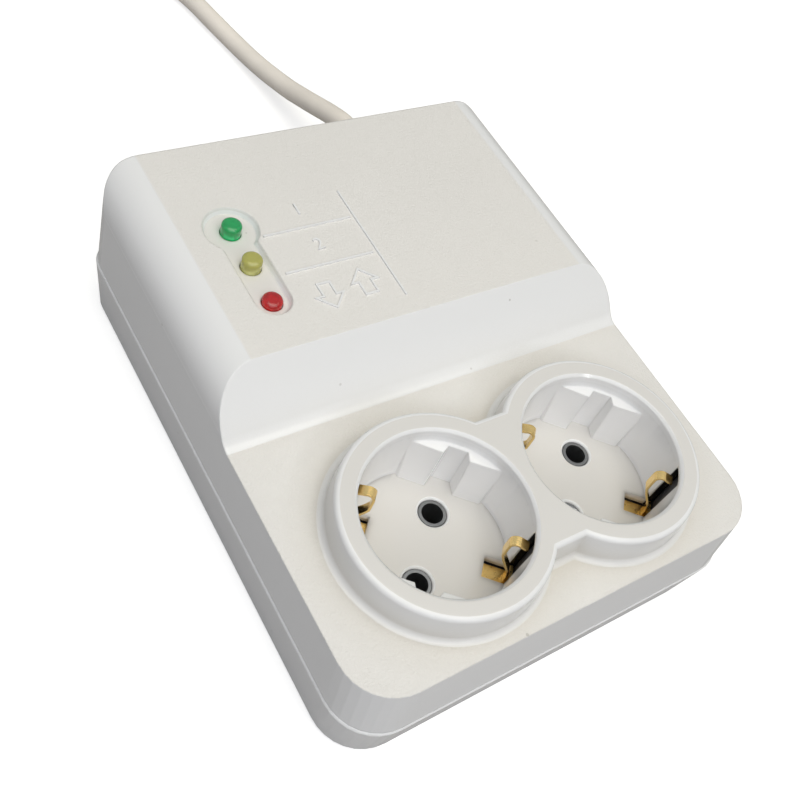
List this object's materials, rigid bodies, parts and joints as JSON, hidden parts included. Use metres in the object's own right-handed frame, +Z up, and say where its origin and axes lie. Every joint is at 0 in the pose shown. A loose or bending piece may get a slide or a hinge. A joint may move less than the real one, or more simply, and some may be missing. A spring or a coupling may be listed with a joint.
{
  "type": "voltage protector extension lead",
  "caption": "Cream plastic voltage protector case with earthed round-pin wells on a low front deck, indicator lights in a raised rear housing, and a coiled supply cord with a side-entry plug.",
  "frame": {"origin": "middle of the case at the parting line's plan, on the surface the case stands on", "axes": "+Z up, +Y towards the rear wall where the cord leaves, +X to the right seen from the socket end"},
  "size_m": [0.153, 0.3768, 0.0488],
  "materials": {
    "top_shell": "fine textured cream white, smoother on ramp and wells",
    "bottom_shell": "fine textured cream white",
    "screw_steel": "zinc plated",
    "dark_plastic": "moulded",
    "sleeve_metal": "dull plated, darkened",
    "contact_brass": "stamped",
    "clip_brass": "stamped, polished by use",
    "board_laminate": "lacquered laminate",
    "relay_steel": "plated",
    "coil_copper": "copper, lacquered",
    "relay_cover": "moulded",
    "film_capacitor": "moulded",
    "varistor_blue": "dipped",
    "resistor_blue": "lacquered",
    "terminal_green": "moulded",
    "rotor_white": "moulded",
    "led_green": "tinted lens",
    "led_yellow": "tinted lens",
    "led_red": "tinted lens",
    "cord_sheath": "soft extruded sheath",
    "wire_brown": "extruded",
    "wire_blue": "extruded",
    "wire_green": "extruded",
    "plug_plastic": "moulded",
    "pin_nickel": "nickel plated"
  },
  "bodies": {
    "case": {"top_shell": "top_shell", "bottom_shell": "bottom_shell", "case_screws": "screw_steel", "contact_retainer": "dark_plastic", "clip_backs": "dark_plastic", "retainer_screws": "screw_steel", "live_sleeve_left": "sleeve_metal", "neutral_sleeve_left": "sleeve_metal", "live_sleeve_right": "sleeve_metal", "neutral_sleeve_right": "sleeve_metal", "live_bar": "contact_brass", "neutral_bar": "contact_brass", "earth_strap": "contact_brass", "circuit_board": "board_laminate", "board_screws": "screw_steel", "relay_base": "dark_plastic", "relay_yoke": "relay_steel", "relay_coil": "coil_copper", "relay_contact": "coil_copper", "relay_cover": "relay_cover", "dropper_capacitor": "film_capacitor", "smoothing_capacitor": "dark_plastic", "varistor": "varistor_blue", "control_chip": "dark_plastic", "resistors": "resistor_blue", "diodes": "dark_plastic", "terminal_block": "terminal_green", "trimmer_bodies": "varistor_blue", "led_green": "led_green", "led_yellow": "led_yellow", "led_red": "led_red", "led_legs": "screw_steel", "led_spacers": "dark_plastic", "cord_bush": "cord_sheath", "cord_clamp": "dark_plastic", "clamp_screws": "screw_steel", "cord_tail": "cord_sheath", "live_wire": "wire_brown", "neutral_wire": "wire_blue", "earth_wire": "wire_green", "live_link": "wire_brown", "neutral_link": "wire_blue", "supply_cord": "cord_sheath", "cord_coil": "cord_sheath", "plug_cord": "cord_sheath", "cord_tie": "dark_plastic", "plug_body": "plug_plastic", "plug_pins": "pin_nickel", "plug_earth_contacts": "contact_brass"},
    "clip_left_front": {"earth_clip_left_front": "clip_brass"},
    "clip_left_rear": {"earth_clip_left_rear": "clip_brass"},
    "clip_right_front": {"earth_clip_right_front": "clip_brass"},
    "clip_right_rear": {"earth_clip_right_rear": "clip_brass"},
    "armature": {"relay_armature": "relay_steel"},
    "rotor_low": {"trimmer_rotor_low": "rotor_white"},
    "rotor_high": {"trimmer_rotor_high": "rotor_white"}
  },
  "joints": [
    {"name": "left_front_clip_bend", "type": "hinge", "parent": "case", "child": "clip_left_front", "pos_m": [-0.00806, -0.05414, 0.0242], "axis": [0.682, 0.7314, 0], "range_deg": [0, 5.5], "stiffness_Nm_per_rad": 1},
    {"name": "left_rear_clip_bend", "type": "hinge", "parent": "case", "child": "clip_left_rear", "pos_m": [-0.03754, -0.02666, 0.0242], "axis": [-0.682, -0.7314, 0], "range_deg": [0, 5.5], "stiffness_Nm_per_rad": 1},
    {"name": "right_front_clip_bend", "type": "hinge", "parent": "case", "child": "clip_right_front", "pos_m": [0.03754, -0.05414, 0.0242], "axis": [0.682, 0.7314, 0], "range_deg": [0, 5.5], "stiffness_Nm_per_rad": 1},
    {"name": "right_rear_clip_bend", "type": "hinge", "parent": "case", "child": "clip_right_rear", "pos_m": [0.00806, -0.02666, 0.0242], "axis": [-0.682, -0.7314, 0], "range_deg": [0, 5.5], "stiffness_Nm_per_rad": 1},
    {"name": "relay_pull_in", "type": "hinge", "parent": "case", "child": "armature", "pos_m": [-0.0194, 0.0375, 0.0384], "axis": [0, 1, 0], "range_deg": [0, 3], "stiffness_Nm_per_rad": 0.02, "springref_deg": -5.73},
    {"name": "low_limit_turn", "type": "hinge", "parent": "case", "child": "rotor_low", "pos_m": [-0.0446, 0.0245, 0.0296], "axis": [0, 0, 1], "range_deg": [-105, 105]},
    {"name": "high_limit_turn", "type": "hinge", "parent": "case", "child": "rotor_high", "pos_m": [-0.0446, 0.0365, 0.0296], "axis": [0, 0, 1], "range_deg": [-105, 105]}
  ]
}
